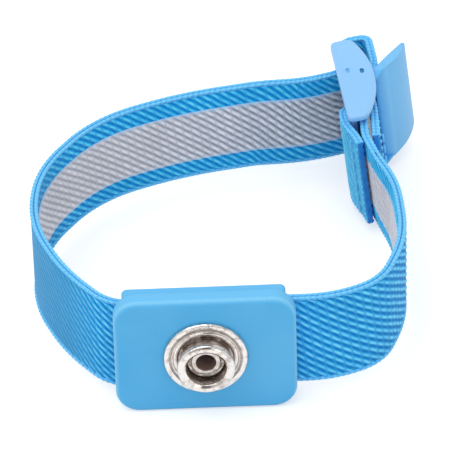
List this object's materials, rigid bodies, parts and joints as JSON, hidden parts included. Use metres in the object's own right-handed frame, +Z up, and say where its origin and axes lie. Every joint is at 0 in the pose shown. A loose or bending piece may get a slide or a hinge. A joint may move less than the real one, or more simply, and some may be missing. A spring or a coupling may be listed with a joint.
{
  "type": "esd wrist strap",
  "caption": "Elastic woven wrist band with a snap stud on a moulded plate, a conductive inner stripe, and a lever buckle that grips the band's free end.",
  "frame": {"origin": "middle of the strap's footprint, on the surface that it stands on", "axes": "+Z up across the band's width, -Y the way the snap faces, +X to the right seen from the snap"},
  "size_m": [0.0713, 0.0886, 0.0235],
  "materials": {
    "moulded_blue": "fine satin",
    "buckle_blue": "satin",
    "nickel": "bright nickel plate",
    "stainless": "brushed",
    "woven_blue": "ribbed elastic weave",
    "conductive_weave": "weave with silver coloured thread",
    "elastic": "covered rubber strands",
    "thread": "sewing thread"
  },
  "bodies": {
    "strap": {"front_cover": "moulded_blue", "back_case": "moulded_blue", "stud_flange": "nickel", "stud_drum": "nickel", "rivet_eyelet": "nickel", "contact_washer": "nickel", "contact_plate": "stainless", "band_outer_ply": "woven_blue", "band_elastic_core": "elastic", "band_inner_ply": "woven_blue", "conductive_stripe": "conductive_weave", "band_at_far_bar": "woven_blue", "band_under_lever": "woven_blue", "band_free_end": "woven_blue", "band_sewn_end": "woven_blue", "sewn_end_stitches": "thread", "free_end_stitches": "thread", "buckle_frame": "buckle_blue", "hinge_pin": "stainless"},
    "lever": {"lever": "buckle_blue"}
  },
  "joints": [
    {"name": "lever_hinge", "type": "hinge", "parent": "strap", "child": "lever", "pos_m": [0.02514, 0.02861, 0.01175], "axis": [-0.1041, -0.0091, 0.9945], "range_deg": [-60, 29], "deforming": ["band_under_lever"]}
  ]
}
